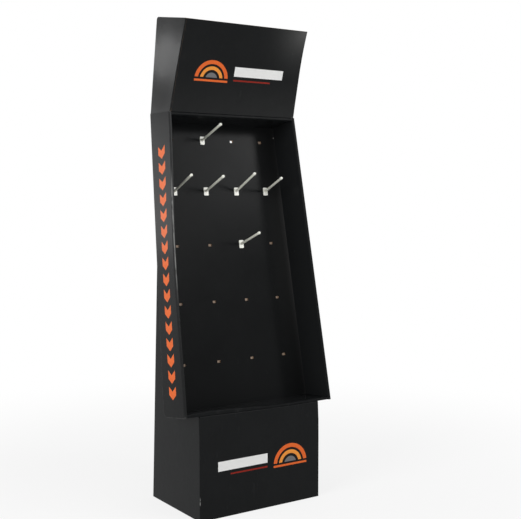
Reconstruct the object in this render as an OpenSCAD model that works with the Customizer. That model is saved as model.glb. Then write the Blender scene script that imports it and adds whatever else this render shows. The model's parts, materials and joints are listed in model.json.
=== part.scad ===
// Hook display rack: a folded corrugated floor stand with a leaning hook tray, a winged header
// and one-piece plastic hooks clipped into slots.
// Millimetres, Z up, X to the right, the front towards -Y, origin on the floor under the middle of the base.

/* [Board] */
// Thickness of the corrugated board
board = 3; // [2.4:0.1:3.6]
// Room in the double walls beyond one board, so that a tab slides in
pocket_play = 0.4; // [0.2:0.1:0.8]
// Depth to which a scored fold sinks below the board's face
crease = 0.15; // [0.1:0.05:0.4]
// Clearance between pieces that slide together
fit_gap = 0.3; // [0.1:0.1:0.5]

/* [Base] */
// Width of the base
base_w = 420; // [400:1:430]
// Depth of the base on the floor
base_d = 284; // [270:1:300]
// Height of the base's front edge, where the tray rests
base_h = 301; // [250:1:330]
// Height of the uprights behind the tray
upright_h = 900; // [760:1:920]
// Forward lean of the back panel, in degrees
back_lean = 2.9; // [0:0.05:3.2]
// Depth of the flaps folded in under the base
floor_flap_d = 60; // [30:1:90]
// Depth of the ledge folded in under the tray
ledge_d = 50; // [25:1:70]

/* [Tray] */
// Width of the tray across its bottom end
tray_bottom_w = 514.5; // [480:0.5:530]
// Width of the tray across its top end
tray_top_w = 443; // [434:1:470]
// Length of the tray up its slope
tray_l = 868; // [840:1:920]
// Depth of the tray
tray_d = 113.7; // [106:0.1:126]
// Distance of the tray's front foot behind the base's front
tray_setback = 9.8; // [0:0.1:14]
// Backward lean of the tray, in degrees
tray_lean = 9.05; // [8:0.05:9.6]
// Radius of the lower rear corners of the side panels
side_corner_r = 30; // [10:1:50]
// Depth of the floor's and ceiling's outer layers, measured from their rims
end_return_d = 80; // [60:1:95]
// Distance of the floor's and ceiling's rims behind the side walls' rims
end_back = 1; // [0.5:0.1:2]

/* [Hook slots] */
// Rows of slots, counted from the top
slot_rows = 5; // [4:1:5]
// Columns of slots
slot_cols = 4; // [4:1:4]
// Width of a slot
slot_w = 11; // [9:0.5:13]
// Height of a slot
slot_h = 7.5; // [6.5:0.5:9]
// Corner radius of a slot
slot_r = 1.5; // [0.5:0.1:2.5]
// Distance of the top row below the top of the tray
top_row_down = 57.6; // [45:0.1:80]
// Distance from the top row to the next
row_pitch = 156; // [145:0.1:165]
// Growth of that distance from each row to the next
row_growth = 7.6; // [0:0.1:8]
// Distance between columns, halfway up the tray
col_pitch = 113; // [100:0.1:120]
// Height of the backing sheet's lower edge in the tray
backer_bottom = 30; // [20:1:60]
// Distance of the backing sheet's upper edge below the top of the tray
backer_down = 28; // [20:1:35]

/* [Header] */
// Length of the header's front panel up its slope
header_l = 262; // [200:1:300]
// Forward lean of the front panel, in degrees
header_lean = 16.7; // [8:0.1:22]
// Depth of the wings along their lower edges
wing_bottom_d = 118.5; // [116:0.5:130]
// Depth of the wings along their upper edges
wing_top_d = 173.5; // [150:0.5:185]
// Rise of the wings' upper edges towards the rear, in degrees
wing_rise = 9.7; // [0:0.1:14]
// Corner radius of the wings' upper rear corners
wing_corner_r = 9; // [4:1:16]
// Depth of the flap that lies on the tray's ceiling
header_flap_d = 55; // [30:1:75]
// Room left at each end of that flap
flap_play = 3; // [1:0.5:8]
// Length of the tabs that slide down into the side walls
tab_l = 60; // [30:1:90]
// Width of those tabs
tab_w = 64; // [40:1:70]

/* [Hooks] */
// Width of a hook's front plate
plate_w = 15.5; // [14:0.5:20]
// Height of the front plate
plate_h = 24.5; // [22:0.5:30]
// Thickness of the front plate
plate_t = 2.4; // [2:0.1:3.5]
// Corner radius of the front plate
plate_r = 2.5; // [1:0.1:4]
// Diameter of the arm
arm_d = 7; // [4.5:0.1:8]
// Length of the arm, from the plate to its knob
arm_l = 104; // [80:1:115]
// Upward angle of the arm from the slot panel's normal, in degrees
arm_angle = 15; // [5:0.5:20]
// Height of the arm's root above the middle of the plate
arm_up = 1; // [0:0.5:3]
// Diameter of the knob at the arm's end
knob_d = 8.6; // [7:0.1:9.4]
// Length of the knob's straight part
knob_l = 3.5; // [2:0.1:6]
// Depth of the flat left by the mould at the knob's tip
knob_flat = 0.1; // [0.05:0.05:0.3]
// Length of the cone that stiffens the arm's root
root_l = 12; // [6:0.5:18]
// Thickness of the toe that grips behind the board
toe_t = 2.4; // [2:0.1:3]
// Height of the toe
toe_h = 15; // [12:0.5:18]
// Height of the neck that passes through the slot
neck_h = 4; // [3:0.1:5]

/* [Hidden] */
$fn = 48;

// Slots that carry a hook: row, column, and the lift and swing in degrees to which its arm has bent in use
hook_places = [[1, 2, -0.7, 2.9], [2, 1, 1.2, 1], [2, 2, -0.3, 0.3],
               [2, 3, 5.3, 3.4], [2, 4, -2.2, -4.6], [3, 3, -3.8, -0.8]];
// The open slot that has lost its hook
spare_places = [[1, 3]];

black_print = [0.09, 0.09, 0.1];
kraft = [0.62, 0.47, 0.31];
milky = [0.9, 0.9, 0.85];

// More than any cut has to reach past a face
past = 1;
pocket = board + pocket_play;
wall = 2 * board + pocket;
end_inset = wall - board / 2;
crease_r = board - crease;
// How far the slot panel runs into the strip that turns up into a side wall
lap = board;

// The tray's lower rear edge: its lower front edge lies on the seat, just behind the base's front
tray_y = -base_d / 2 + tray_setback + tray_d * cos(tray_lean);
tray_z = base_h - tray_setback * tan(tray_lean) - tray_d * sin(tray_lean);

// Taper of the tray's sides, as a ratio and as an angle
taper = (tray_bottom_w - tray_top_w) / 2 / tray_l;
taper_deg = atan(taper);

// The header stands forward of the tray's slope by both leans
header_deg = header_lean + tray_lean;
wing_inset = board + pocket_play / 2;
wing_top_deg = wing_rise + tray_lean;

backer_half_w = base_w / 2 - board - fit_gap;

// Half the tray's width at height z, less an inset measured square to its side
function side_x(z, inset = 0) = tray_bottom_w / 2 - z * taper - inset / cos(taper_deg);

// Middle of a slot in the tray's frame, rows from the top and columns from the left
function slot_z(row) = tray_l - top_row_down - (row - 1) * row_pitch - row_growth * (row - 1) * (row - 2) / 2;
function slot_x(row, col) =
    (col - (slot_cols + 1) / 2) * col_pitch * side_x(slot_z(row)) / side_x(tray_l / 2);

// Height of the level line from the tray's upper front edge, at depth y in the tray's frame
function level_z(y) = tray_l + (y + tray_d) * tan(tray_lean);

// Height of the seat under the tray, and of the plane behind it, in the rack's frame
function seat_z(y) = tray_z - (y - tray_y) * tan(tray_lean);
function behind_tray_y(z) = tray_y + (z - tray_z) * tan(tray_lean);

// A line inside the back panel's outer face, at height z in the rack's frame
function back_y(z, inset) =
    base_d / 2 - inset * cos(back_lean) - (z + inset * sin(back_lean)) * tan(back_lean);

// Places the tray's own frame, in which the tray stands upright with its rear at y = 0
module leaned() {
    translate([0, tray_y, tray_z]) rotate([-tray_lean, 0, 0]) children();
}

module both_sides() {
    children();
    mirror([1, 0, 0]) children();
}

// A front view (x, z) given a depth, forward from y
module from_front(y, depth) {
    translate([0, y, 0]) rotate([90, 0, 0]) linear_extrude(depth) children();
}

// A side view (y, z) given a width, from x
module from_side(x, width) {
    translate([x, 0, 0]) rotate([90, 0, 90]) linear_extrude(width) children();
}

module round_rect(w, h, r) {
    square([w, h - 2 * r], center = true);
    square([w - 2 * r, h], center = true);
    for (x = [-1, 1], z = [-1, 1])
        translate([x * (w / 2 - r), z * (h / 2 - r)]) circle(r);
}

// A strip along the tray's right side, between two insets and two heights
module side_strip(inset_out, inset_in, z0, z1) {
    polygon([[side_x(z0, inset_out), z0], [side_x(z1, inset_out), z1],
             [side_x(z1, inset_in), z1], [side_x(z0, inset_in), z0]]);
}

// A strip across the tray between its two sides
module cross_strip(inset, z0, z1) {
    polygon([[-side_x(z0, inset), z0], [side_x(z0, inset), z0],
             [side_x(z1, inset), z1], [-side_x(z1, inset), z1]]);
}

// Cross-section of a fold: the board rounds its inner corner between two outward directions
module bend(deg_a, deg_b) {
    intersection() {
        circle(board);
        polygon([[0, 0], for (deg = [deg_a, (deg_a + deg_b) / 2, deg_b]) 3 * board * [cos(deg), sin(deg)]]);
    }
}

// A scored fold across, along an inner corner line at (y, z), sunk a little below the faces it joins
module cross_crease(half, corner) {
    translate([-half, corner[0], corner[1]]) rotate([0, 90, 0]) cylinder(r = crease_r, h = 2 * half);
}

// Places the frame of the right side wall: x is its outward normal, and z runs up its slope
module on_side_wall() {
    translate([side_x(0), 0, 0]) rotate([0, -taper_deg, 0]) children();
}

// Section of a side wall (x, y): slot panel's bend, inner layer and front rim of one strip of board
module side_wall_section() {
    translate([-wall - 2 * lap, -board]) square([2 * lap, board]);
    translate([-wall, -board]) bend(0, 90);
    translate([-wall, -tray_d + board]) square([board, tray_d - 2 * board]);
    translate([-board - pocket, -tray_d + board]) bend(180, 270);
    translate([-board - pocket, -tray_d]) square([pocket, board]);
    translate([-board, -tray_d + board]) bend(-90, 0);
}

// Side view of a side panel's outer layer: rounded low at the rear, level at the top
module side_panel_outline() {
    front = -tray_d + board;
    difference() {
        polygon([[front, 0], [0, 0], [0, level_z(0) / cos(taper_deg)], [front, level_z(front) / cos(taper_deg)]]);
        translate([-side_corner_r, side_corner_r]) difference() {
            translate([0, -side_corner_r - past]) square(side_corner_r + past);
            circle(side_corner_r);
        }
    }
}

module side_wall() {
    on_side_wall() {
        linear_extrude(tray_l / cos(taper_deg)) side_wall_section();
        from_side(-board, board) side_panel_outline();
    }
}

// Section of the floor (y, z), rolled over at the front like the side walls, just behind their rims
module end_wall_section() {
    front = -tray_d + end_back;
    translate([-board, wall]) bend(-90, 0);
    translate([front + board, board + pocket]) square([-front - 2 * board, board]);
    translate([front + board, board + pocket]) bend(90, 180);
    translate([front, board]) square([board, pocket]);
    translate([front + board, board]) bend(180, 270);
    translate([front + board, 0]) square([end_return_d - board, board]);
}

// Floor or ceiling, let halfway into the inner layers of the side walls
module end_wall(half) {
    from_side(-half, 2 * half) children();
}

module slot_cuts(places) {
    for (place = places)
        translate([slot_x(place[0], place[1]), slot_z(place[0])]) round_rect(slot_w, slot_h, slot_r);
}

// The tray is one folded sheet: the slotted panel and four walls rolled over outwards
module tray() {
    all_places = [for (row = [1:slot_rows], col = [1:slot_cols]) [row, col]];
    color(black_print) leaned() {
        from_front(0, board) difference() {
            cross_strip(wall + lap, wall, tray_l - wall);
            slot_cuts(all_places);
        }
        both_sides() side_wall();
        end_wall(side_x(wall, end_inset)) end_wall_section();
        end_wall(side_x(tray_l, end_inset)) translate([0, tray_l]) mirror([0, 1]) end_wall_section();
    }
}

// Unprinted sheet glued behind the slotted panel, punched through only where hooks go
module panel_backer() {
    color(kraft) leaned() from_front(board, board) difference() {
        translate([-backer_half_w, backer_bottom])
            square([2 * backer_half_w, tray_l - backer_down - backer_bottom]);
        slot_cuts(concat(hook_places, spare_places));
    }
}

// Side view of a base side panel, cut to the tray's seat and slope
module base_side_outline() {
    front = -base_d / 2 + board;
    polygon([[front, 0], [back_y(0, board + lap), 0], [back_y(upright_h, board + lap), upright_h],
             [behind_tray_y(upright_h), upright_h], [tray_y, tray_z], [front, seat_z(front)]]);
}

// A flap folded in at the floor: its outer edge lies along x, and its ends are mitred
module floor_flap(length) {
    linear_extrude(board) polygon([[-length / 2 + fit_gap, 0], [length / 2 - fit_gap, 0],
        [length / 2 - floor_flap_d - fit_gap, floor_flap_d],
        [-length / 2 + floor_flap_d + fit_gap, floor_flap_d]]);
}

// The back panel with its rounded corners, drawn in its own lean and cut level at both ends
module back_wall() {
    half_in = base_w / 2 - board;
    intersection() {
        translate([0, back_y(0, board), 0]) rotate([back_lean, 0, 0])
            translate([0, 0, -2 * board]) linear_extrude(upright_h + 5 * board) {
                translate([-half_in, 0]) square([2 * half_in, board]);
                both_sides() translate([half_in, 0]) {
                    bend(0, 90);
                    translate([0, -2 * lap]) square([board, 2 * lap]);
                }
            }
        translate([-base_w / 2 - past, -base_d / 2, 0]) cube([base_w + 2 * past, base_d + past, upright_h]);
    }
}

// The base is one folded sheet: front, sides with uprights, back, floor flaps and the tray's ledge
module base_shell() {
    half_in = base_w / 2 - board;
    front_in = -base_d / 2 + board;
    rear_in = back_y(0, board);
    ledge_z = seat_z(front_in) - board / cos(tray_lean);
    color(black_print) {
        translate([-half_in, -base_d / 2, 0]) cube([2 * half_in, board, ledge_z]);
        back_wall();
        translate([-half_in, front_in, ledge_z]) rotate([-tray_lean, 0, 0]) cube([2 * half_in, ledge_d, board]);
        cross_crease(half_in, [front_in, ledge_z]);
        both_sides() {
            from_side(half_in, board) base_side_outline();
            translate([half_in, front_in, 0]) linear_extrude(ledge_z) bend(-90, 0);
            translate([half_in, (front_in + rear_in) / 2, 0]) rotate([0, 0, 90])
                floor_flap(rear_in - front_in);
        }
        translate([0, front_in, 0]) floor_flap(2 * half_in);
        translate([0, rear_in, 0]) rotate([0, 0, 180]) floor_flap(2 * half_in);
    }
}

// Corners of the header in side view (y, z) of the tray's frame
header_up = [-sin(header_deg), cos(header_deg)];
header_in = [cos(header_deg), sin(header_deg)];
header_foot = [-tray_d, tray_l];
header_top = header_foot + header_l * header_up;
// Inner corner line where the front panel turns into its flap
header_bend = header_foot + board * header_in + board * (1 - sin(header_deg)) / cos(header_deg) * header_up;
header_top_in = header_top + board * header_in;
wing_rear_top = header_top + wing_top_d * [cos(wing_top_deg), sin(wing_top_deg)];
wing_rear_foot = header_foot + wing_bottom_d * [cos(tray_lean), sin(tray_lean)];

// A point of that side view, laid into the plane of a wing
function on_wing(p) = [p[0], (p[1] - tray_l) / cos(taper_deg)];

// Outline of a wing with its tab, in the plane of the wing
module wing_outline() {
    tab_front = -(tray_d + tab_w) / 2;
    tab_rear = tab_front + tab_w;
    corner = on_wing(wing_rear_top);
    to_front = on_wing(header_top_in) - corner;
    to_foot = on_wing(wing_rear_foot) - corner;
    difference() {
        polygon([on_wing(header_bend), on_wing(header_top_in), corner, on_wing(wing_rear_foot),
                 on_wing([tab_rear, level_z(tab_rear)]), on_wing([tab_rear, tray_l - tab_l]),
                 on_wing([tab_front, tray_l - tab_l]), on_wing([tab_front, level_z(tab_front)])]);
        corner_cut(corner, atan2(to_front[1], to_front[0]) + 360, atan2(to_foot[1], to_foot[0]) + 360, wing_corner_r);
    }
}

// What is cut off to round a corner between the directions deg_a and deg_b of its two edges
module corner_cut(corner, deg_a, deg_b, r) {
    half_deg = (deg_b - deg_a) / 2;
    mid = [cos(deg_a + half_deg), sin(deg_a + half_deg)];
    centre = corner + r / sin(half_deg) * mid;
    reach = r / tan(half_deg);
    along_a = corner + reach * [cos(deg_a), sin(deg_a)];
    along_b = corner + reach * [cos(deg_b), sin(deg_b)];
    difference() {
        polygon([corner - past * mid, along_a - past * mid, along_a, centre, along_b, along_b - past * mid]);
        translate(centre) circle(r);
    }
}

// The header is one folded sheet: front panel, two wings with tabs and the flap on the ceiling
module header() {
    inside = wing_inset + board;
    slope = norm(header_top_in - header_bend);
    half_low = side_x(header_bend[1], inside);
    half_high = side_x(header_top_in[1], inside);
    flap_half = half_low - flap_play;
    edge_deg = atan((half_low - half_high) / slope);
    color(black_print) leaned() {
        translate([0, header_bend[0], header_bend[1]]) rotate([header_deg, 0, 0]) {
            from_front(0, board)
                polygon([[-half_low, 0], [half_low, 0], [half_high, slope], [-half_high, slope]]);
            both_sides() translate([half_low, 0, 0]) rotate([0, -edge_deg, 0]) translate([0, 0, past])
                cylinder(r = crease_r, h = norm([half_low - half_high, slope]) - 2 * past);
        }
        both_sides() translate([side_x(tray_l, inside), 0, tray_l]) rotate([0, -taper_deg, 0])
            from_side(0, board) wing_outline();
        translate([-flap_half, header_bend[0], tray_l]) cube([2 * flap_half, header_flap_d, board]);
        cross_crease(flap_half, header_bend);
    }
}

// Half section of the round arm, from its coned root to its knob
module arm_profile() {
    square([arm_d / 2, arm_l]);
    polygon([[0, 0], [(arm_d + plate_t) / 2, 0], [arm_d / 2, root_l], [0, root_l]]);
    translate([0, arm_l]) square([knob_d / 2, knob_l]);
    intersection() {
        for (z = [arm_l, arm_l + knob_l])
            translate([0, z]) circle(d = knob_d);
        square([knob_d, arm_l + knob_l + knob_d / 2 - knob_flat]);
    }
}

// One moulded hook: front plate, neck and toe through the slot, rising arm with a knob
module hook(place) {
    neck_w = slot_w - 2 * (slot_r + fit_gap);
    neck_bottom = -slot_h / 2;
    toe_y = board + fit_gap;
    color(milky) leaned() translate([slot_x(place[0], place[1]), 0, slot_z(place[0])]) {
        from_front(-board, plate_t) round_rect(plate_w, plate_h, plate_r);
        translate([-neck_w / 2, -board - plate_t / 2, neck_bottom])
            cube([neck_w, toe_y + board + plate_t / 2 + toe_t, neck_h]);
        translate([-neck_w / 2, toe_y, neck_bottom]) cube([neck_w, toe_t, toe_h]);
        difference() {
            translate([0, -board - plate_t / 2, arm_up]) rotate([90 - arm_angle - place[2], 0, place[3]])
                rotate_extrude() arm_profile();
            translate([-plate_w / 2, -board - plate_t / 2, -plate_h / 2]) cube([plate_w, plate_h, plate_h]);
        }
    }
}

base_shell();
tray();
panel_backer();
header();
for (place = hook_places)
    hook(place);
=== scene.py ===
"""Hook display rack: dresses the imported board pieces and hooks, and sets the stage."""

import json
import math

import bpy
from mathutils import Matrix, Vector

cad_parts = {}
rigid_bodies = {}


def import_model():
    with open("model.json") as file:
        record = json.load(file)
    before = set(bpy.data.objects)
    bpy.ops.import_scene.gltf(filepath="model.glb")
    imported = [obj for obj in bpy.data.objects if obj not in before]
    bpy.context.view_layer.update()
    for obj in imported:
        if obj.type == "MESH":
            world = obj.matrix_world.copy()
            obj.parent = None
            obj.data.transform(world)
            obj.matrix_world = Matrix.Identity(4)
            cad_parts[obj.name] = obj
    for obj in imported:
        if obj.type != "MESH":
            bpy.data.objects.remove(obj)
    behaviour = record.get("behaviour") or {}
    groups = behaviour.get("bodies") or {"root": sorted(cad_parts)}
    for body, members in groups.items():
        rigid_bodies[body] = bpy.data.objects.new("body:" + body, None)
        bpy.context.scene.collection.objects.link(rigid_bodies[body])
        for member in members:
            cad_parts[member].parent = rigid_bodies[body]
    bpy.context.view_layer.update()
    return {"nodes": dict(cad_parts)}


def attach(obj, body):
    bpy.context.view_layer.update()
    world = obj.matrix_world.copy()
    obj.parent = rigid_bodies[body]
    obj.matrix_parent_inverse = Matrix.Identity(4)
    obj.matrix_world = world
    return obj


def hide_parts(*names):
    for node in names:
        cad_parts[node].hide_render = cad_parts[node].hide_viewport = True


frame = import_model()

bl_info = {
    "name": "Hook Display Rack",
    "version": (1, 0, 0),
    "blender": (4, 5, 0),
    "location": "View3D > Sidebar > Rack",
    "description": "Board pieces, hooks and stage of a folded hook display rack",
    "category": "Object",
}

MM = 0.001
BOARD = 3 * MM
POCKET = 3.4 * MM
FLUTE_PITCH = 6.6 * MM
UP = Vector((0, 0, 1))
RIGHT = Vector((1, 0, 0))
REAR = Vector((0, 1, 0))

# The base's outer faces
BASE_HALF = 210 * MM
BASE_FRONT = -142 * MM
BASE_TOP = 301 * MM
BACK_FOOT = -BASE_FRONT
BACK_LEAN = math.radians(2.9)

# The tray, which stands on the base's sloping top just behind its front
TRAY_LEAN = math.radians(9.05)
TRAY_SETBACK = 9.8 * MM
TRAY_LENGTH = 868 * MM
TRAY_DEPTH = 113.7 * MM
TRAY_HALF = 257.25 * MM
TRAY_TOP_HALF = 221.5 * MM
TRAY_TAPER = (TRAY_HALF - TRAY_TOP_HALF) / TRAY_LENGTH
TRAY_WALL = 2 * BOARD + POCKET

# The tray's own frame: x to the right, y to the rear from the hook panel's back, z up the panel
TRAY_ORIGIN = Vector((
    0,
    BASE_FRONT + TRAY_SETBACK + TRAY_DEPTH * math.cos(TRAY_LEAN),
    BASE_TOP - TRAY_SETBACK * math.tan(TRAY_LEAN) - TRAY_DEPTH * math.sin(TRAY_LEAN)))
FROM_TRAY = Matrix.Translation(TRAY_ORIGIN) @ Matrix.Rotation(-TRAY_LEAN, 4, "X")
TO_TRAY = FROM_TRAY.inverted()
TRAY_UP = Vector((0, math.sin(TRAY_LEAN), math.cos(TRAY_LEAN)))

# The side panels' lower rear corners: as cut, and as the used board shows them
SIDE_CORNER = 30 * MM
TIGHT_CORNER = 16 * MM

# The header's front panel: its foot, its forward lean and its height, and how deep its wings are
HEADER_FOOT = FROM_TRAY @ Vector((0, -TRAY_DEPTH, TRAY_LENGTH))
HEADER_LEAN = math.radians(16.7)
HEADER_LENGTH = 262 * MM
HEADER_UP = Vector((0, -math.sin(HEADER_LEAN), math.cos(HEADER_LEAN)))
WING_FOOT_DEPTH = 118.5 * MM
WING_TOP_DEPTH = 173.5 * MM

# Where a hook's arm starts and ends, ahead of the hook panel
ARM_START = 4.5 * MM
ARM_END = 96.5 * MM

# Print on the panels, from their middle and foot: half disc, white bar and red line (two corners each)
HEADER_DISC = (-98 * MM, 98 * MM)
HEADER_DISC_RADIUS = 56 * MM
HEADER_BAR = ((-22 * MM, 112 * MM), (150 * MM, 140 * MM))
HEADER_LINE = ((-22 * MM, 98 * MM), (108 * MM, 102.5 * MM))
BASE_DISC = (102 * MM, 120 * MM)
BASE_DISC_RADIUS = 60 * MM
BASE_BAR = ((-150 * MM, 134 * MM), (20 * MM, 162 * MM))
BASE_LINE = ((-108 * MM, 120 * MM), (20 * MM, 124.5 * MM))
DISC_FOOT = 6 * MM

# The half disc's rings, as shares of its radius, with their inks
DISC_RINGS = ((0.80, 1.00, "orange"), (0.50, 0.68, "amber"), (-1.00, 0.36, "grey"))

# Chevrons up the tray's left side
CHEVRON_COUNT = 16
CHEVRON_PITCH = 46 * MM
CHEVRON_START = 50 * MM
CHEVRON_AHEAD = 60 * MM
CHEVRON_HALF = 20 * MM
CHEVRON_SLOPE = 0.7
CHEVRON_SHARE = 0.52

# Lights: name, place, height that it aims at, width and height, and the setting that holds its power
LIGHTS = (
    ("key_left", (-3.7, -1.1, 1.9), 0.8, (2.0, 2.0), "key"),
    ("softbox_right", (1.79, -3.52, 2.4), 0.95, (2.4, 1.3), "right"),
    ("low_right", (1.45, -3.5, 1.5), 0.7, (0.5, 0.5), "low"),
    ("spot_right", (2.42, -2.88, 2.35), 0.95, (0.8, 0.8), "spot"),
    ("softbox_left", (-2.0, 3.6, 1.12), 1.0, (1.4, 1.0), "left"),
    ("spot_left", (-2.09, 3.6, 2.05), 1.3, (0.25, 0.2), "glint"),
)

# Material slots on the board pieces
FILM, KRAFT, CUT, FOLD, PRINT, RIM_WEAR_AND_HIGHLIGHT = range(6)


# Properties


class RackBoardSettings(bpy.types.PropertyGroup):
    """Board, print and film"""

    black: bpy.props.FloatVectorProperty(
        name="Black print", description="Colour of the black ink under the film",
        subtype="COLOR", size=3, min=0, max=1, default=(0.0090, 0.0096, 0.0100))
    kraft: bpy.props.FloatVectorProperty(
        name="Kraft", description="Colour of the unprinted liner",
        subtype="COLOR", size=3, min=0, max=1, default=(0.40, 0.255, 0.145))
    backer: bpy.props.FloatVectorProperty(
        name="Backing sheet", description="Colour of the greyer sheet behind the slots",
        subtype="COLOR", size=3, min=0, max=1, default=(0.40, 0.305, 0.235))
    bare: bpy.props.FloatVectorProperty(
        name="Bare paper", description="Colour of the paper where the print has rubbed off",
        subtype="COLOR", size=3, min=0, max=1, default=(0.41, 0.41, 0.40))
    gloss: bpy.props.FloatProperty(
        name="Film roughness", description="Roughness of the satin film",
        min=0.1, max=0.9, default=0.27)
    bow: bpy.props.FloatProperty(
        name="Side bow", description="How far the left side's front rim bows out halfway up",
        subtype="DISTANCE", unit="LENGTH", min=0, max=0.012, default=0.0085)
    spread: bpy.props.FloatProperty(
        name="Foot spread", description="How far the tray's rims stand forward at its foot",
        subtype="DISTANCE", unit="LENGTH", min=0, max=0.012, default=0.0078)
    swell: bpy.props.FloatProperty(
        name="Lip swell",
        description="How far the tray's lower lip swells at its left end and thins at its right",
        subtype="DISTANCE", unit="LENGTH", min=0, max=0.008, default=0.004)
    sag: bpy.props.FloatProperty(
        name="Lip sag", description="How far the tray's lip and the base's front sag at their right end",
        subtype="DISTANCE", unit="LENGTH", min=0, max=0.010, default=0.007)
    curl: bpy.props.FloatProperty(
        name="Header curl", description="How far the header's upper edge curls forward",
        subtype="DISTANCE", unit="LENGTH", min=0, max=0.015, default=0.010)
    dish: bpy.props.FloatProperty(
        name="Wing dish", description="How far the header's wings bow in halfway up",
        subtype="DISTANCE", unit="LENGTH", min=0, max=0.010, default=0.001)
    dent: bpy.props.FloatProperty(
        name="Panel waviness", description="Depth of the slow waves in the base's front",
        subtype="DISTANCE", unit="LENGTH", min=0, max=0.003, default=0.0006)


class RackPrintSettings(bpy.types.PropertyGroup):
    """Inks of the printed shapes"""

    orange: bpy.props.FloatVectorProperty(
        name="Orange", description="Main ink of the shapes",
        subtype="COLOR", size=3, min=0, max=1, default=(0.72, 0.135, 0.03))
    amber: bpy.props.FloatVectorProperty(
        name="Amber", description="Second ink of the shapes",
        subtype="COLOR", size=3, min=0, max=1, default=(0.80, 0.29, 0.05))
    white: bpy.props.FloatVectorProperty(
        name="White", description="Ink of the light bars",
        subtype="COLOR", size=3, min=0, max=1, default=(0.78, 0.78, 0.77))
    grey: bpy.props.FloatVectorProperty(
        name="Grey", description="Ink of the small grey shapes",
        subtype="COLOR", size=3, min=0, max=1, default=(0.16, 0.16, 0.165))
    red: bpy.props.FloatVectorProperty(
        name="Red", description="Ink of the thin lines",
        subtype="COLOR", size=3, min=0, max=1, default=(0.25, 0.02, 0.012))


class RackHookSettings(bpy.types.PropertyGroup):
    """Moulded hooks"""

    milky: bpy.props.FloatVectorProperty(
        name="Milky plastic", description="Colour of the plates and knobs",
        subtype="COLOR", size=3, min=0, max=1, default=(0.95, 0.955, 0.865))
    arm: bpy.props.FloatVectorProperty(
        name="Arm plastic", description="Colour of the thin arms, which let light through",
        subtype="COLOR", size=3, min=0, max=1, default=(0.76, 0.76, 0.67))


class RackStageSettings(bpy.types.PropertyGroup):
    """Camera, floor and light"""

    lens: bpy.props.FloatProperty(
        name="Lens", description="Focal length", subtype="DISTANCE_CAMERA",
        unit="CAMERA", min=20, max=200, default=65.629)
    yaw: bpy.props.FloatProperty(
        name="Yaw", description="Turn of the view to the right of straight ahead",
        subtype="ANGLE", unit="ROTATION", default=0.59635)
    pitch: bpy.props.FloatProperty(
        name="Pitch", description="Tilt of the view above level",
        subtype="ANGLE", unit="ROTATION", default=-0.06794)
    place: bpy.props.FloatVectorProperty(
        name="Camera place", description="Where the camera stands",
        subtype="XYZ", unit="LENGTH", size=3, default=(-1.53699, -2.39865, 0.91820))
    key: bpy.props.FloatProperty(
        name="Key light", description="Power of the large light at the left",
        subtype="POWER", unit="POWER", min=0, default=80)
    right: bpy.props.FloatProperty(
        name="Right softbox", description="Power of the softbox that the hook panel mirrors",
        subtype="POWER", unit="POWER", min=0, default=36)
    left: bpy.props.FloatProperty(
        name="Left softbox", description="Power of the softbox that the left side mirrors",
        subtype="POWER", unit="POWER", min=0, default=9)
    glint: bpy.props.FloatProperty(
        name="Left spot", description="Power of the small light that the header's left wing mirrors",
        subtype="POWER", unit="POWER", min=0, default=1.2)
    spot: bpy.props.FloatProperty(
        name="Right spot", description="Power of the small light beside the right softbox",
        subtype="POWER", unit="POWER", min=0, default=15)
    low: bpy.props.FloatProperty(
        name="Low right light", description="Power of the small light under the right softbox",
        subtype="POWER", unit="POWER", min=0, default=5)
    world: bpy.props.FloatProperty(
        name="World", description="Strength of the light from all sides", min=0, max=2, default=0.45)
    sweep: bpy.props.FloatProperty(
        name="White floor", description="How far the floor is seen as plain white",
        subtype="FACTOR", min=0, max=1, default=0.8)


class RackSettings(bpy.types.PropertyGroup):
    """All settings of the rack"""

    board: bpy.props.PointerProperty(type=RackBoardSettings)
    ink: bpy.props.PointerProperty(type=RackPrintSettings)
    hook: bpy.props.PointerProperty(type=RackHookSettings)
    stage: bpy.props.PointerProperty(type=RackStageSettings)


# Shader maths


class Value:
    """A shader socket that takes part in Python expressions"""

    def __init__(self, graph, socket):
        self.graph = graph
        self.socket = socket

    def math(self, operation, *others):
        return self.graph.node("ShaderNodeMath", {"operation": operation}, self, *others)

    def __add__(self, other):
        return self.math("ADD", other)

    __radd__ = __add__

    def __mul__(self, other):
        return self.math("MULTIPLY", other)

    def __sub__(self, other):
        return self.math("SUBTRACT", other)

    def __rsub__(self, other):
        return self.graph.node("ShaderNodeMath", {"operation": "SUBTRACT"}, other, self)

    def __truediv__(self, other):
        return self.math("DIVIDE", other)

    def __abs__(self):
        return self.math("ABSOLUTE")

    def __gt__(self, other):
        return self.math("GREATER_THAN", other)

    def __lt__(self, other):
        return self.math("LESS_THAN", other)

    def __pow__(self, other):
        return self.math("POWER", other)

    def low(self, other):
        return self.math("MINIMUM", other)

    def high(self, other):
        return self.math("MAXIMUM", other)

    def sin(self):
        return self.math("SINE")

    def fract(self):
        return self.math("FRACT")

    def step(self, start, end):
        """Smooth step from 0 at start to 1 at end"""
        return self.graph.node("ShaderNodeMapRange", {"interpolation_type": "SMOOTHSTEP"},
                               self, start, end, 0.0, 1.0)


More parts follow.
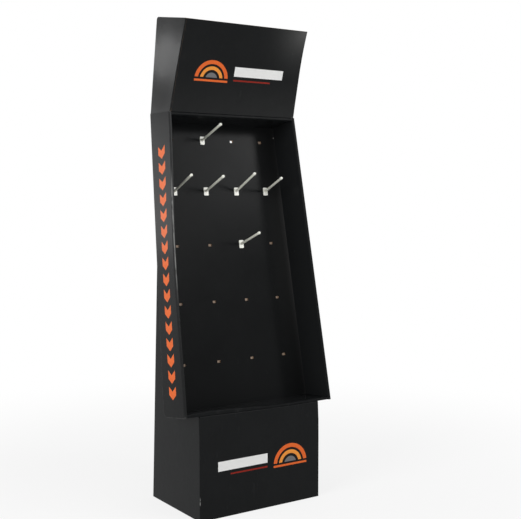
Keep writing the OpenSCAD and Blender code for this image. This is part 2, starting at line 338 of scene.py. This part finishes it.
class Graph:
    """A node tree, emptied, to which expressions add their nodes"""

    def __init__(self, tree):
        self.tree = tree
        tree.nodes.clear()

    def feed(self, socket, value):
        if isinstance(value, Value):
            self.tree.links.new(value.socket, socket)
            return
        if hasattr(socket.default_value, "__len__"):
            size = len(socket.default_value)
            value = tuple(value) if hasattr(value, "__len__") else (value,) * size
            value = value + (1.0,) * (size - len(value))
        socket.default_value = value

    def node(self, kind, settings, *values, out=0, **named):
        """Adds a node: its settings first, then the values or links of its sockets"""
        made = self.tree.nodes.new(kind)
        for key, setting in settings.items():
            setattr(made, key, setting)
        for socket, value in zip(made.inputs, values):
            self.feed(socket, value)
        for key, value in named.items():
            self.feed(made.inputs[key.replace("_", " ")], value)
        return Value(self, made.outputs[out])

    def mix(self, first, second, share):
        """One colour to another"""
        made = self.tree.nodes.new("ShaderNodeMix")
        made.data_type = "RGBA"
        for socket, value in zip((made.inputs[0], made.inputs[6], made.inputs[7]), (share, first, second)):
            self.feed(socket, value)
        return Value(self, made.outputs[2])

    def seen(self):
        """1 for rays from the camera, from gloss and through clear plastic"""
        camera = self.node("ShaderNodeLightPath", {}, out="Is Camera Ray")
        gloss = self.node("ShaderNodeLightPath", {}, out="Is Glossy Ray")
        clear = self.node("ShaderNodeLightPath", {}, out="Is Transmission Ray")
        return camera.high(gloss).high(clear)


class Finish(Graph):
    """One material"""

    def __init__(self, name):
        self.material = bpy.data.materials.new(name)
        self.material.use_nodes = True
        super().__init__(self.material.node_tree)
        self.point = self.node("ShaderNodeTexCoord", {}, out="Object")
        self.x = self.node("ShaderNodeSeparateXYZ", {}, self.point, out="X")
        self.y = self.node("ShaderNodeSeparateXYZ", {}, self.point, out="Y")
        self.z = self.node("ShaderNodeSeparateXYZ", {}, self.point, out="Z")

    def noise(self, scale, detail=2.0, rough=0.5, stretch=(1, 1, 1)):
        """Noise from 0 to 1, with its scale in cycles per metre"""
        place = self.node("ShaderNodeMapping", {}, self.point, Scale=stretch)
        return self.node("ShaderNodeTexNoise", {}, place, out="Fac",
                         Scale=scale, Detail=detail, Roughness=rough)

    def body(self, colour, rough, height=None, depth=1.0, **fixed):
        """A Principled shader: fixed holds the sockets that are the same all over"""
        if height is not None:
            fixed["Normal"] = self.node("ShaderNodeBump", {}, Strength=depth, Distance=1.0, Height=height)
        return self.node("ShaderNodeBsdfPrincipled", {}, Base_Color=colour, Roughness=rough, **fixed)

    def close(self, surface):
        made = self.tree.nodes.new("ShaderNodeOutputMaterial")
        self.feed(made.inputs["Surface"], surface)
        return self.material

    def in_tray(self):
        """Depth (forwards is negative) and height in the tray's own frame"""
        back = self.y - TRAY_ORIGIN.y
        up = self.z - TRAY_ORIGIN.z
        depth = back * math.cos(TRAY_LEAN) - up * math.sin(TRAY_LEAN)
        height = back * math.sin(TRAY_LEAN) + up * math.cos(TRAY_LEAN)
        return depth, height

    def near(self, place, radius):
        """1 at a place, falling to 0 at a radius from it"""
        gap = self.node("ShaderNodeVectorMath", {"operation": "DISTANCE"}, self.point, place, out="Value")
        return 1.0 - (gap / radius).low(1.0)


def box_mask(u, v, low, high):
    """1 inside a rectangle of the print, in metres"""
    return (u > low[0]) * (u < high[0]) * (v > low[1]) * (v < high[1])


def ring_mask(u, v, centre, inner, outer):
    """1 inside a ring of the print"""
    across = u - centre[0]
    along = v - centre[1]
    gap = (across * across + along * along) ** 0.5
    return (gap > inner) * (gap < outer)


# Materials


def flutes(finish, depth):
    """Faint ribs of the corrugation, which show through the liner"""
    return ((finish.x + finish.y) * (2 * math.pi / FLUTE_PITCH)).sin() * depth


def black_film(name, shine, prints=None, worn=None, depth=1.0, sleek=0.0):
    """Black print under a satin film

    The masks and inks after the shine are print, and on the tray's film painted light; the mask
    after them gives the bare paper's colour: wear, and on some pieces painted light and highlight;
    depth scales the black, and sleek takes from the film's roughness.
    """
    board = bpy.context.scene.rack.board
    finish = Finish(name)
    cloud = finish.noise(9.0, 3.0)
    grain = finish.noise(1400.0, 2.0)
    scuff = finish.noise(60.0, 4.0, 0.65, (1, 1, 0.35)).step(0.62, 0.80)
    black = Vector(board.black) * depth
    colour = finish.mix(black * 0.85, black * 1.2, cloud)
    colour = finish.mix(colour, black * 2.4, scuff * 0.35)
    for mask, ink in prints(finish) if prints else ():
        colour = finish.mix(colour, ink, mask)
    rough = board.gloss - sleek - 0.05 + cloud * 0.10 + scuff * 0.10 + (grain - 0.5) * 0.05
    if worn:
        bare = worn(finish)
        # The bare paper's colour marks wear, and on some pieces painted light and highlight
        colour = finish.mix(colour, board.bare, bare)
        rough = rough + bare * 0.4
    height = flutes(finish, 0.00003) + (grain - 0.5) * 0.000012 + (cloud - 0.5) * 0.0007
    return finish.close(finish.body(colour, rough, height, 0.55, Specular_IOR_Level=shine))


def kraft_liner(name, kraft):
    """Unprinted brown liner with paper fibres"""
    kraft = Vector(kraft)
    finish = Finish(name)
    fibre = finish.noise(420.0, 5.0, 0.7, (1, 1, 0.18))
    cloud = finish.noise(14.0, 3.0)
    fleck = finish.noise(900.0, 2.0).step(0.66, 0.74)
    colour = finish.mix(kraft * 0.82, kraft * 1.16, fibre)
    colour = finish.mix(colour, kraft * 0.72, cloud * 0.45)
    colour = finish.mix(colour, kraft * 0.45, fleck * 0.35)
    height = flutes(finish, 0.00005) + (fibre - 0.5) * 0.00004
    return finish.close(finish.body(colour, 0.78 + fibre * 0.14, height, 0.7, Specular_IOR_Level=0.25))


def cut_edge(name):
    """Cut board: two liners with the flutes between them"""
    kraft = Vector(bpy.context.scene.rack.board.kraft)
    finish = Finish(name)
    wave = ((finish.x + finish.y + finish.z) * (2 * math.pi / FLUTE_PITCH)).sin() * 0.5 + 0.5
    fibre = finish.noise(700.0, 3.0)
    # The darker bands are painted shade in the hollows between the flutes
    colour = finish.mix(kraft * 0.30, kraft, wave * 0.7 + fibre * 0.3)
    height = wave * 0.0004 + fibre * 0.0001
    return finish.close(finish.body(colour, 0.88, height, 0.6, Specular_IOR_Level=0.2))


def milky_plastic():
    """Plates, toes and knobs of the hooks"""
    milky = Vector(bpy.context.scene.rack.hook.milky)
    finish = Finish("milky_plastic")
    cloud = finish.noise(180.0, 2.0)
    colour = finish.mix(milky * 0.93, milky, cloud)
    return finish.close(finish.body(
        colour, 0.34 + cloud * 0.1, (cloud - 0.5) * 0.0001, 0.3,
        Subsurface_Weight=0.08, Subsurface_Radius=(0.004, 0.004, 0.003), Subsurface_Scale=1.0,
        Specular_IOR_Level=1.0))


def arm_plastic():
    """Thin arms of the hooks, greyer because light passes through them"""
    arm = Vector(bpy.context.scene.rack.hook.arm)
    finish = Finish("arm_plastic")
    cloud = finish.noise(180.0, 2.0)
    colour = finish.mix(arm * 0.9, arm * 1.05, cloud)
    return finish.close(finish.body(colour, 0.30 + cloud * 0.1, (cloud - 0.5) * 0.0001, 0.3))


# Printed shapes, wear and painted light


def panel_prints(u, v, disc, radius, bar, line):
    """A rising half disc on a bar of its own, beside a white bar and a thin red line"""
    ink = bpy.context.scene.rack.ink
    above = v > disc[1] + DISC_FOOT
    foot = box_mask(u, v, (disc[0] - radius, disc[1] - DISC_FOOT), (disc[0] + radius, disc[1]))
    prints = []
    for inner, outer, name in DISC_RINGS:
        ring = ring_mask(u, v, disc, radius * inner, radius * outer)
        prints.append((ring * above, getattr(ink, name)))
    return prints + [
        (foot, ink.orange),
        (box_mask(u, v, *bar), ink.white),
        (box_mask(u, v, *line), ink.red),
    ]


def header_prints(finish):
    """The shapes on the header's front, measured up its slope"""
    up = (finish.y - HEADER_FOOT.y) * HEADER_UP.y + (finish.z - HEADER_FOOT.z) * HEADER_UP.z
    return panel_prints(finish.x, up, HEADER_DISC, HEADER_DISC_RADIUS, HEADER_BAR, HEADER_LINE)


def base_prints(finish):
    """The same shapes on the base's front, the other way round"""
    return panel_prints(finish.x, finish.z, BASE_DISC, BASE_DISC_RADIUS, BASE_BAR, BASE_LINE)


def side_prints(finish):
    """A run of chevrons up the left side panel"""
    depth, height = finish.in_tray()
    across = abs(depth + CHEVRON_AHEAD)
    place = (height - CHEVRON_START - across * CHEVRON_SLOPE) / CHEVRON_PITCH
    inside = (across < CHEVRON_HALF) * (place > 0.0) * (place < CHEVRON_COUNT)
    return [(inside * (place.fract() < CHEVRON_SHARE), bpy.context.scene.rack.ink.orange)]


def tray_walls_painted_light(finish):
    """Painted light: the inner walls' black is made a little lighter than the hook panel's"""
    depth, _ = finish.in_tray()
    lighter = Vector(bpy.context.scene.rack.board.black) * 1.32
    return [(depth < -BOARD - 0.5 * MM, lighter)]


def fold_wear(finish, amount):
    """Where a fold has rubbed through: patches along it"""
    patch = finish.noise(26.0, 4.0, 0.7).step(0.50, 0.78)
    fine = finish.noise(240.0, 3.0, 0.7).step(0.38, 0.66)
    return patch * fine * amount


def corner_wear(finish, places, radius):
    """Corners where the board has burst: small ragged marks"""
    ragged = finish.noise(330.0, 3.0, 0.7) * 0.9 - 0.25
    marks = finish.near(places[0], radius)
    for place in places[1:]:
        marks = marks.high(finish.near(place, radius))
    return (marks + ragged * (marks > 0.001)).step(0.45, 0.62)


def rim_wear(finish):
    """The tray's rims: rubbed here and there, with two burst corners at the left"""
    top = FROM_TRAY @ Vector((2 * MM - TRAY_TOP_HALF, -TRAY_DEPTH, TRAY_LENGTH))
    foot = FROM_TRAY @ Vector((3 * MM - TRAY_HALF, -TRAY_DEPTH - 5 * MM, 1 * MM))
    return fold_wear(finish, 0.06).high(corner_wear(finish, (top, foot), 6 * MM) * 0.06)


def side_rim_wear_and_highlight(finish):
    """The left rim: rubbed here and there, and a painted highlight line that crosses it at half height"""
    bow = bpy.context.scene.rack.board.bow
    line_inset = 11.5 * MM
    line_slant = 0.015
    _, height = finish.in_tray()
    swing = (height * (math.pi / TRAY_LENGTH)).sin()
    inset = finish.x + TRAY_HALF - height * TRAY_TAPER + swing * swing * bow
    # Painted highlight along the rim where it bows out
    line = 1.0 - abs(inset - line_inset + height * line_slant).step(1.0 * MM, 2.6 * MM)
    middle = height.step(0.30, 0.46) * (1.0 - height.step(0.60, 0.72))
    highlight_breaks = finish.noise(90.0, 3.0, 0.6, (1, 1, 0.3)).step(0.25, 0.55)
    return rim_wear(finish).high(line * middle * highlight_breaks * 0.5)


def panel_painted_reflection_and_speck(finish):
    """Painted reflection on the hook panel towards the fold of the right wall, strongest at half height,
    and a speck above it
    """
    wide = 80 * MM
    narrow = 16 * MM
    speck_place = FROM_TRAY @ Vector((213.5 * MM, -BOARD, 827 * MM))
    depth, height = finish.in_tray()
    inset = TRAY_HALF - TRAY_WALL - height * TRAY_TAPER - finish.x
    # Painted reflection, fading away from the fold
    fold_painted_reflection = (1.0 - inset / wide).high(0.0) * 0.05 + (1.0 - inset / narrow).high(0.0) * 0.035
    panel = (depth > -BOARD - 3.5 * MM) * (inset > 0.0)
    middle = height.step(0.05, 0.50) * (1.0 - height.step(0.58, 0.74))
    speck = finish.near(speck_place, 2.8 * MM).step(0.1, 0.6)
    return (fold_painted_reflection * panel * (middle * 0.75 + 0.25)).high(speck * 0.9)


def side_edge_light_line(finish):
    """A thin light line along the side panel's rear and lower edges"""
    depth, height = finish.in_tray()
    across = (depth + TIGHT_CORNER).high(0.0)
    along = (TIGHT_CORNER - height).high(0.0)
    gap = TIGHT_CORNER - (across * across + along * along) ** 0.5
    broken = finish.noise(70.0, 3.0, 0.6).step(0.30, 0.62)
    return (gap < 1.3 * MM) * broken * 0.10


def header_wear(finish):
    """The header's lower fold is rubbed light, most at its right end"""
    low = finish.z < HEADER_FOOT.z + 4 * MM
    line = (finish.x * 0.5 + 0.04).low(0.17).high(0.025)
    return fold_wear(finish, 0.12).high(low * line)


def header_painted_light_and_speck(finish):
    """Painted reflection towards the front's upper right corner, painted light towards its foot that grows
    to the right, and one bare speck
    """
    corner = HEADER_FOOT + HEADER_UP * HEADER_LENGTH + RIGHT * (205 * MM)
    speck_place = HEADER_FOOT + HEADER_UP * (194 * MM) + RIGHT * (172 * MM)
    foot_painted_light_height = 120 * MM
    # Painted reflection, strongest at the upper right corner
    corner_painted_reflection = finish.near(corner, 240 * MM) ** 4.0 * 0.22
    speck = finish.near(speck_place, 3 * MM).step(0.1, 0.6)
    # Painted light, strongest at the foot and towards the right
    foot = (1.0 - (finish.z - HEADER_FOOT.z) / foot_painted_light_height).high(0.0) * (finish.x * 0.03 + 0.021)
    return corner_painted_reflection.high(speck * 0.6).high(foot)


def base_fold_wear(finish):
    """The base's upright folds: rubbed here and there, with one bare spot low at the left"""
    spot = (-BASE_HALF, BASE_FRONT, 58 * MM)
    bare = finish.near(spot, 16 * MM).step(0.15, 0.5)
    ragged = finish.noise(260.0, 3.0).step(0.35, 0.6)
    return fold_wear(finish, 0.12).high(bare * ragged * 0.5)


# Mesh tools


def clamp(value):
    return max(0.0, min(1.0, value))


def right_share(x):
    """How much of the sag a place across the rack takes, least at the left"""
    least = 0.05
    start = -240 * MM
    run = 300 * MM
    return least + (1 - least) * clamp((x - start) / run)


def deselect():
    if bpy.context.object and bpy.context.object.mode != "OBJECT":
        bpy.ops.object.mode_set(mode="OBJECT")
    bpy.ops.object.select_all(action="DESELECT")


def edit(piece):
    deselect()
    piece.select_set(True)
    bpy.context.view_layer.objects.active = piece
    bpy.ops.object.mode_set(mode="EDIT")


def copy_node(node, name):
    """A merged copy of a CAD node, with its flat faces joined up again"""
    deselect()
    source = frame["nodes"][node]
    source.select_set(True)
    bpy.context.view_layer.objects.active = source
    bpy.ops.object.duplicate()
    piece = bpy.context.object
    bpy.ops.object.parent_clear(type="CLEAR_KEEP_TRANSFORM")
    for key in list(piece.keys()):
        del piece[key]
    piece.name = name
    piece.data.name = name
    piece.data.materials.clear()
    edit(piece)
    bpy.ops.mesh.select_all(action="SELECT")
    bpy.ops.mesh.remove_doubles(threshold=0.000002)
    bpy.ops.mesh.customdata_custom_splitnormals_clear()
    bpy.ops.mesh.dissolve_limited(angle_limit=math.radians(0.2))
    bpy.ops.object.mode_set(mode="OBJECT")
    return piece


def slice_up(piece, axis, start, pitch, count):
    """Cuts a piece's faces along planes square to an axis, so that its panels can bend"""
    edit(piece)
    for i in range(count):
        bpy.ops.mesh.select_all(action="SELECT")
        bpy.ops.mesh.bisect(plane_co=axis * (start + i * pitch), plane_no=axis)
    bpy.ops.object.mode_set(mode="OBJECT")


def paint_faces(piece, choose, materials):
    """Gives each face its material slot"""
    for material in materials:
        piece.data.materials.append(material)
    for face in piece.data.polygons:
        face.material_index = choose(face.center, face.normal)


def bend(piece, move):
    """Moves each point of a piece"""
    for vertex in piece.data.vertices:
        vertex.co = move(vertex.co)


def settle(piece, node, smooth=35):
    """Shades a piece, sets it on the rack and lets it stand for its node"""
    deselect()
    piece.select_set(True)
    bpy.context.view_layer.objects.active = piece
    bpy.ops.object.shade_smooth_by_angle(angle=math.radians(smooth))
    bpy.ops.object.modifier_add(type="WEIGHTED_NORMAL")
    even = piece.modifiers[-1]
    even.keep_sharp = True
    bpy.ops.object.modifier_apply(modifier=even.name)
    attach(piece, "root")
    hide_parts(node)


# Which finish a face has


def base_slot(centre, normal):
    """Print outside, kraft inside, cut edges on the side panels' upper edges"""
    outer = max(abs(centre.x) - BASE_HALF + BOARD, BASE_FRONT + BOARD - centre.y)
    back = centre.y + centre.z * math.tan(BACK_LEAN) - BACK_FOOT + BOARD
    if abs(normal.z) < 0.12 and abs(normal.x) > 0.9:
        return FILM if centre.x * normal.x > 0 else KRAFT
    if abs(normal.z) < 0.12 and abs(normal.y) > 0.9:
        if centre.y < 0:
            return PRINT if normal.y < 0 and outer > 0 else KRAFT
        return FILM if normal.y > 0 and back > 0 else KRAFT
    if abs(normal.x) > 0.05:
        return FOLD
    if centre.z < 2 * BOARD:
        return FILM if normal.z < 0 else KRAFT
    if abs(centre.x) > BASE_HALF - BOARD * 1.1:
        return CUT
    if centre.z < BASE_TOP + 2 * BOARD:
        return FILM if normal.z > 0 else KRAFT
    return CUT


def tray_slot(centre, normal):
    """The sheet's printed side faces every way that shows; its kraft side lies in the pockets and behind"""
    c = TO_TRAY @ centre
    n = TO_TRAY.to_3x3() @ normal
    left = c.x < 0
    inset = TRAY_HALF - c.z * TRAY_TAPER - abs(c.x)
    front = c.y < BOARD - TRAY_DEPTH
    if front and left and inset < 1.05 * TRAY_WALL and abs(n.x) < 0.95:
        return RIM_WEAR_AND_HIGHLIGHT
    if front and abs(n.x) < 0.95:
        return FOLD
    if n.y > 0.9:
        return CUT if inset < BOARD * 1.1 or c.z < BOARD or c.z > TRAY_LENGTH - BOARD else KRAFT
    if n.y < -0.9:
        return FILM
    if abs(n.x) > 0.95:
        if inset < 0.5 * BOARD:
            return PRINT if left else FILM
        if inset > TRAY_WALL - 0.5 * BOARD:
            return CUT if c.y > -BOARD and inset > TRAY_WALL + BOARD else FILM
        return KRAFT
    if inset < BOARD * 1.05:
        return CUT
    if abs(n.y) > 0.1 and c.y > -BOARD:
        return KRAFT
    from_end = TRAY_LENGTH / 2 - abs(c.z - TRAY_LENGTH / 2)
    if c.y > -BOARD and inset > TRAY_WALL + BOARD and from_end > 1.5 * TRAY_WALL:
        return CUT
    if abs(n.z) > 0.9:
        gap = min(c.z, TRAY_LENGTH - c.z)
        if gap < 0.5 * BOARD or gap > TRAY_WALL - 0.5 * BOARD:
            return FILM
    return KRAFT


def header_slot(centre, normal):
    """Print outside, kraft inside, cut edges all round"""
    c = TO_TRAY @ centre
    n = TO_TRAY.to_3x3() @ normal
    inset = TRAY_HALF - c.z * TRAY_TAPER - abs(c.x)
    forward = normal.y * -math.cos(HEADER_LEAN) - normal.z * math.sin(HEADER_LEAN)
    if abs(n.x) > 0.95:
        return FILM if inset < 1.5 * BOARD else KRAFT
    if forward > 0.99:
        return PRINT
    if forward < -0.99:
        return KRAFT
    if abs(n.x) > 0.1:
        return FOLD if math.copysign(n.x, n.x * c.x) > n.y else KRAFT
    if c.z < TRAY_LENGTH + 4 * MM and n.z < 0 and c.y < 4 * MM - TRAY_DEPTH:
        return FOLD
    if abs(n.z) > 0.99 and c.z < TRAY_LENGTH + 4 * MM:
        return FILM if n.z < 0 else KRAFT
    return CUT


def backer_slot(centre, normal):
    """Kraft on both faces, cut edges all round"""
    broad = abs(normal.dot(TRAY_UP)) < 0.1 and abs(normal.x) < 0.1
    return 0 if broad else 1


def hook_slot(centre, normal):
    """Plate, toe and knob are milky; the thin arm lets light through"""
    ahead = -BOARD - (TO_TRAY @ centre).y
    return 1 if ARM_START < ahead < ARM_END else 0


# Operators


class RACK_OT_base(bpy.types.Operator):
    """Dresses the folded base with its uprights"""

    bl_idname = "rack.base"
    bl_label = "Base"

    def execute(self, context):
        board = context.scene.rack.board
        piece = copy_node("base_shell", "board_base")
        slice_up(piece, UP, start=60 * MM, pitch=60 * MM, count=14)
        slice_up(piece, RIGHT, start=-150 * MM, pitch=50 * MM, count=7)
        paint_faces(piece, base_slot, [
            black_film("base_film", 0.058, sleek=0.05),
            kraft_liner("base_kraft", board.kraft),
            cut_edge("base_cut"),
            black_film("base_fold", 0.06, worn=base_fold_wear),
            black_film("base_front", 0.056, base_prints)])
        bend(piece, lambda point: self.settled(point, board))
        settle(piece, "base_shell")
        return {"FINISHED"}

    def settled(self, point, board):
        """The used base: slow inward waves in its front, whose upper edge sags and leans back"""
        fold_margin = 10 * MM
        ledge = 60 * MM
        sag_start = 200 * MM
        sag_run = 100 * MM
        lean = 4 * MM
        point = point.copy()
        if point.y < BASE_FRONT + 1.2 * BOARD and point.z < BASE_TOP:
            inside = max(0.0, 1.0 - (point.x / (BASE_HALF - fold_margin)) ** 2)
            level = max(0.0, 1.0 - (2 * point.z / BASE_TOP - 1.0) ** 2)
            wave = (math.sin(point.x * 9.0 + 1.3) * math.sin(point.z * 6.1 + 0.4)
                    + 0.6 * math.sin(point.x * 17.0 + point.z * 11.0 + 2.0))
            point.y += abs(wave) * board.dent * inside * level
        if point.y < BASE_FRONT + ledge and point.z < BASE_TOP + BOARD:
            upper = clamp((point.z - sag_start) / sag_run)
            point.z -= board.sag * right_share(point.x) * upper
            point.y += lean * upper ** 2
        return point


class RACK_OT_tray(bpy.types.Operator):
    """Dresses the folded tray with its double walls"""

    bl_idname = "rack.tray"
    bl_label = "Tray"

    def execute(self, context):
        board = context.scene.rack.board
        piece = copy_node("tray", "board_tray")
        slice_up(piece, TRAY_UP, start=TRAY_ORIGIN.dot(TRAY_UP) + 40 * MM, pitch=40 * MM, count=21)
        slice_up(piece, RIGHT, start=-220 * MM, pitch=40 * MM, count=12)
        # The tray's film carries painted light on its inner walls and painted reflection towards the right
        # wall's fold; the left rim's film carries a painted highlight line
        paint_faces(piece, tray_slot, [
            black_film("tray_film", 0.038, tray_walls_painted_light, panel_painted_reflection_and_speck, depth=0.9, sleek=0.05),
            kraft_liner("tray_kraft", board.kraft),
            cut_edge("tray_cut"),
            black_film("tray_rim", 0.025, worn=rim_wear),
            black_film("tray_side_print", 0.047, side_prints, side_edge_light_line, depth=0.75, sleek=0.06),
            black_film("tray_side_rim", 0.11, worn=side_rim_wear_and_highlight)])
        bend(piece, lambda point: FROM_TRAY @ self.settled(TO_TRAY @ point, board))
        settle(piece, "tray")
        return {"FINISHED"}

    def settled(self, point, board):
        """The used tray: its left side bowed, its rims forward at the foot, its lip swollen and sagging"""
        bow_reach = 30 * MM
        bow_run = 20 * MM
        half = TRAY_HALF - point.z * TRAY_TAPER
        if half - abs(point.x) < 1.1 * BOARD:
            point = self.tighter_corner(point)
        rise = clamp(point.z / TRAY_LENGTH)
        ahead = clamp(-point.y / TRAY_DEPTH)
        if point.x < 0:
            wall = clamp((bow_reach - half - point.x) / bow_run)
            point.x -= board.bow * math.sin(math.pi * rise) ** 2 * ahead * wall
        if point.z < 1.2 * TRAY_WALL:
            swollen = clamp((point.x + 250 * MM) / (50 * MM))
            thinned = 1.7 * clamp((point.x + 120 * MM) / (150 * MM))
            point.z += board.swell * swollen * (1 - thinned) * ahead ** 2 * clamp(point.z / TRAY_WALL)
        point.z -= board.sag * right_share(point.x) * ahead ** 2 * clamp(1 - rise * 6) ** 2
        point.y -= board.spread * (1 - rise) * ahead
        return point

    def tighter_corner(self, point):
        """Rounds the side panels' lower rear corners less"""
        near = 0.4 * MM
        level = 0.001 * MM
        arm = point - Vector((point.x, -SIDE_CORNER, SIDE_CORNER))
        if arm.y < -level or arm.z > level or abs(arm.length - SIDE_CORNER) > near:
            return point
        return Vector((point.x, -TIGHT_CORNER, TIGHT_CORNER)) + arm * (TIGHT_CORNER / SIDE_CORNER)


class RACK_OT_backer(bpy.types.Operator):
    """Dresses the unprinted sheet behind the slots"""

    bl_idname = "rack.backer"
    bl_label = "Backing sheet"

    def execute(self, context):
        piece = copy_node("panel_backer", "board_backer")
        paint_faces(piece, backer_slot, [
            kraft_liner("backer_kraft", context.scene.rack.board.backer),
            cut_edge("backer_cut")])
        settle(piece, "panel_backer")
        return {"FINISHED"}


class RACK_OT_header(bpy.types.Operator):
    """Dresses the winged header"""

    bl_idname = "rack.header"
    bl_label = "Header"

    def execute(self, context):
        board = context.scene.rack.board
        piece = copy_node("header", "board_header")
        slice_up(piece, HEADER_UP, start=HEADER_FOOT.dot(HEADER_UP) + 30 * MM, pitch=30 * MM, count=8)
        slice_up(piece, REAR, start=-53 * MM, pitch=30 * MM, count=6)
        # The header's front carries painted reflection at its upper right and painted light at its foot
        paint_faces(piece, header_slot, [
            black_film("header_film", 0.092, sleek=0.11),
            kraft_liner("header_kraft", board.kraft),
            cut_edge("header_cut"),
            black_film("header_fold", 0.05, worn=header_wear),
            black_film("header_front", 0.058, header_prints, header_painted_light_and_speck)])
        bend(piece, lambda point: self.settled(point, board))
        settle(piece, "header")
        return {"FINISHED"}

    def settled(self, point, board):
        """The used header: its front curls at the upper right, its wings bow in and rest on the tray"""
        from_foot = point - HEADER_FOOT
        rise = clamp(from_foot.dot(HEADER_UP) / HEADER_LENGTH)
        depth = WING_FOOT_DEPTH + (WING_TOP_DEPTH - WING_FOOT_DEPTH) * rise
        behind = clamp((from_foot.y * HEADER_UP.z - from_foot.z * HEADER_UP.y) / depth)
        right = clamp(0.6 + point.x / 0.5)
        curl = board.curl * right * clamp(2 * rise - 1) ** 2 * (1 - behind)
        half = TRAY_HALF - (TO_TRAY @ point).z * TRAY_TAPER
        wing = clamp((abs(point.x) - half + 12 * MM) / (6 * MM)) * math.sin(math.pi * behind)
        dish = board.dish * math.sin(math.pi * rise) ** 2 * wing
        drop = self.corner_drop(point)
        return Vector((point.x - math.copysign(dish, point.x), point.y - curl, point.z - drop))

    def corner_drop(self, point):
        """How far a wing's lower front corner comes down to the tray"""
        full_drop = 2.4 * MM
        wing_start = 212.2 * MM
        wing_run = 2 * MM
        above = point.z - HEADER_FOOT.z
        if not 1 * MM < above < 5 * MM or point.y >= 12 * MM:
            return 0.0
        return full_drop * clamp((abs(point.x) - wing_start) / wing_run)


class RACK_OT_hooks(bpy.types.Operator):
    """Dresses the six moulded hooks"""

    bl_idname = "rack.hooks"
    bl_label = "Hooks"

    def execute(self, context):
        materials = [milky_plastic(), arm_plastic()]
        for node in sorted(name for name in frame["nodes"] if name.startswith("hook_")):
            piece = copy_node(node, node.replace("hook", "moulded_hook"))
            paint_faces(piece, hook_slot, materials)
            settle(piece, node, 40)
        return {"FINISHED"}


class RACK_OT_stage(bpy.types.Operator):
    """Sets the floor, the lights, the world and the camera"""

    bl_idname = "rack.stage"
    bl_label = "Stage"

    def execute(self, context):
        stage = context.scene.rack.stage
        self.floor(stage.sweep)
        for name, place, aim, size, power in LIGHTS:
            self.light(name, place, UP * aim, size, getattr(stage, power))
        self.sky(stage.world)
        self.camera(stage)
        context.scene.view_settings.view_transform = "Standard"
        return {"FINISHED"}

    def floor(self, sweep):
        """A pale floor that is seen almost white and keeps the shadow"""
        deselect()
        bpy.ops.mesh.primitive_plane_add(size=30.0, location=(0, 0, 0))
        floor = bpy.context.object
        floor.name = "stage_floor"
        finish = Finish("stage_floor")
        paint = finish.body((0.90, 0.90, 0.90), 0.9, Specular_IOR_Level=0.0)
        white = finish.node("ShaderNodeEmission", {}, (1.0, 1.0, 1.0), 1.0)
        away = (finish.x * finish.x + finish.y * finish.y) ** 0.5
        shadow_reach = 0.6
        plain_from = 2.0
        share = sweep + away.step(shadow_reach, plain_from) * (1.0 - sweep)
        surface = finish.node("ShaderNodeMixShader", {}, finish.seen() * share, paint, white)
        floor.data.materials.append(finish.close(surface))

    def light(self, name, place, target, size, power):
        lamp = bpy.data.lights.new(name, "AREA")
        lamp.shape = "RECTANGLE"
        lamp.size, lamp.size_y = size
        lamp.energy = power
        holder = bpy.data.objects.new(name, lamp)
        bpy.context.scene.collection.objects.link(holder)
        holder.location = place
        holder.rotation_euler = (target - Vector(place)).to_track_quat("-Z", "Y").to_euler()

    def sky(self, strength):
        """White where it is seen, a plain even light elsewhere"""
        world = bpy.data.worlds.new("studio")
        bpy.context.scene.world = world
        world.use_nodes = True
        graph = Graph(world.node_tree)
        light = graph.node("ShaderNodeBackground", {}, (1.0, 1.0, 1.0), strength)
        white = graph.node("ShaderNodeBackground", {}, (1.0, 1.0, 1.0), 1.0)
        both = graph.node("ShaderNodeMixShader", {}, graph.seen(), light, white)
        out = world.node_tree.nodes.new("ShaderNodeOutputWorld")
        graph.feed(out.inputs["Surface"], both)

    def camera(self, stage):
        lens = bpy.data.cameras.new("camera")
        lens.sensor_fit = "HORIZONTAL"
        lens.sensor_width = 36.0
        lens.lens = stage.lens
        view = bpy.data.objects.new("camera", lens)
        bpy.context.scene.collection.objects.link(view)
        level = math.cos(stage.pitch)
        across = math.sin(stage.yaw) * level
        along = math.cos(stage.yaw) * level
        ahead = Vector((across, along, math.sin(stage.pitch)))
        view.location = stage.place
        view.rotation_euler = ahead.to_track_quat("-Z", "Y").to_euler()
        bpy.context.scene.camera = view


class RACK_PT_panel(bpy.types.Panel):
    """Lists the rack's pieces and settings"""

    bl_idname = "RACK_PT_panel"
    bl_label = "Hook Display Rack"
    bl_space_type = "VIEW_3D"
    bl_region_type = "UI"
    bl_category = "Rack"

    def draw(self, context):
        rack = context.scene.rack
        for group in (rack.board, rack.ink, rack.hook, rack.stage):
            box = self.layout.box()
            for key in group.__annotations__:
                box.prop(group, key)
        for operator in PIECES:
            self.layout.operator(operator.bl_idname)


SETTINGS = (RackBoardSettings, RackPrintSettings, RackHookSettings, RackStageSettings, RackSettings)
PIECES = (RACK_OT_base, RACK_OT_tray, RACK_OT_backer, RACK_OT_header, RACK_OT_hooks, RACK_OT_stage)


def register():
    for cls in SETTINGS + PIECES + (RACK_PT_panel,):
        bpy.utils.register_class(cls)
    bpy.types.Scene.rack = bpy.props.PointerProperty(type=RackSettings)


def unregister():
    del bpy.types.Scene.rack
    for cls in reversed(SETTINGS + PIECES + (RACK_PT_panel,)):
        bpy.utils.unregister_class(cls)


def main():
    register()
    bpy.ops.rack.base()
    bpy.ops.rack.tray()
    bpy.ops.rack.backer()
    bpy.ops.rack.header()
    bpy.ops.rack.hooks()
    bpy.ops.rack.stage()
    deselect()


if __name__ == "__main__":
    main()
